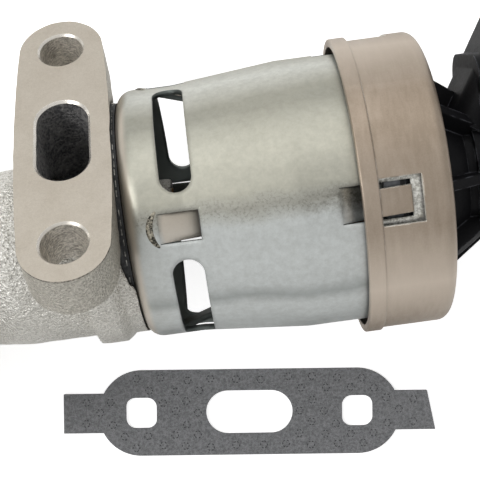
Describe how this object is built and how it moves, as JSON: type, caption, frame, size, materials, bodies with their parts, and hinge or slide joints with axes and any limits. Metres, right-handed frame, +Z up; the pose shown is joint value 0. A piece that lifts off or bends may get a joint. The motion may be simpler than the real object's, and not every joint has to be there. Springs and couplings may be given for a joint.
{
  "type": "exhaust gas recirculation valve",
  "caption": "Solenoid exhaust gas valve: cast body with oblong-port flange, windowed steel can, steel cap and black sensor housing, with its loose flange gasket.",
  "frame": {"origin": "middle of the set's footprint, on the table that the valve and its gasket lie on", "axes": "+X along the valve's axis from the inlet flange to the sensor housing, +Z up from the table, the loose gasket on the -Y side"},
  "size_m": [0.1396, 0.1024, 0.0691],
  "materials": {
    "cast_aluminium": "shot-blasted casting with milled flange faces",
    "seat_steel": "turned",
    "stem_steel": "ground",
    "bushing_bronze": "turned",
    "bright_steel": "rolled sheet",
    "graphite_black": "pressed graphite, dull",
    "zinc_plate": "satin zinc plate",
    "zinc_screw": "zinc plate",
    "pole_iron": "turned iron",
    "sleeve_brass": "drawn",
    "bobbin_nylon": "moulded nylon",
    "copper_wire": "enamelled copper",
    "spring_steel": "drawn wire",
    "nickel_plate": "satin nickel plate",
    "black_rubber": "moulded",
    "black_plastic": "glossy moulded",
    "tinned_brass": "tinned",
    "resin_board": "printed resistor board",
    "graphite_sheet": "graphite sheet with clinch marks"
  },
  "bodies": {
    "valve": {"valve_body": "cast_aluminium", "valve_seat": "seat_steel", "stem_bushing": "bushing_bronze", "deposit_shield": "bright_steel", "body_gasket": "graphite_black", "gasket_core": "bright_steel", "solenoid_can": "zinc_plate", "can_screws": "zinc_screw", "lower_pole": "pole_iron", "pole_sleeve": "sleeve_brass", "bobbin": "bobbin_nylon", "coil_winding": "copper_wire", "coil_leads": "copper_wire", "upper_pole": "pole_iron", "return_spring": "spring_steel", "outer_cap": "nickel_plate", "housing_seal": "black_rubber", "sensor_housing": "black_plastic", "connector_pins": "tinned_brass", "sensor_cover": "black_plastic", "sensor_board": "resin_board", "sensor_spring": "spring_steel", "flange_gasket": "graphite_sheet"},
    "pintle_stem": {"pintle": "stem_steel", "armature": "pole_iron", "armature_nut": "zinc_screw"},
    "sensor_rod": {"sensor_plunger": "bobbin_nylon", "sensor_wiper": "sleeve_brass"}
  },
  "joints": [
    {"name": "pintle_lift", "type": "slide", "parent": "valve", "child": "pintle_stem", "axis": [1, 0, 0], "range_m": [0, 0.0045], "stiffness_N_per_m": 900, "springref_m": -0.004, "deforming": ["return_spring"]},
    {"name": "sensor_follow", "type": "slide", "parent": "valve", "child": "sensor_rod", "axis": [1, 0, 0], "range_m": [0, 0.0045], "stiffness_N_per_m": 100, "springref_m": -0.004, "deforming": ["sensor_spring"]}
  ],
  "couplings": [
    {"joint": "sensor_follow", "follows": "pintle_lift", "ratio": 1}
  ]
}
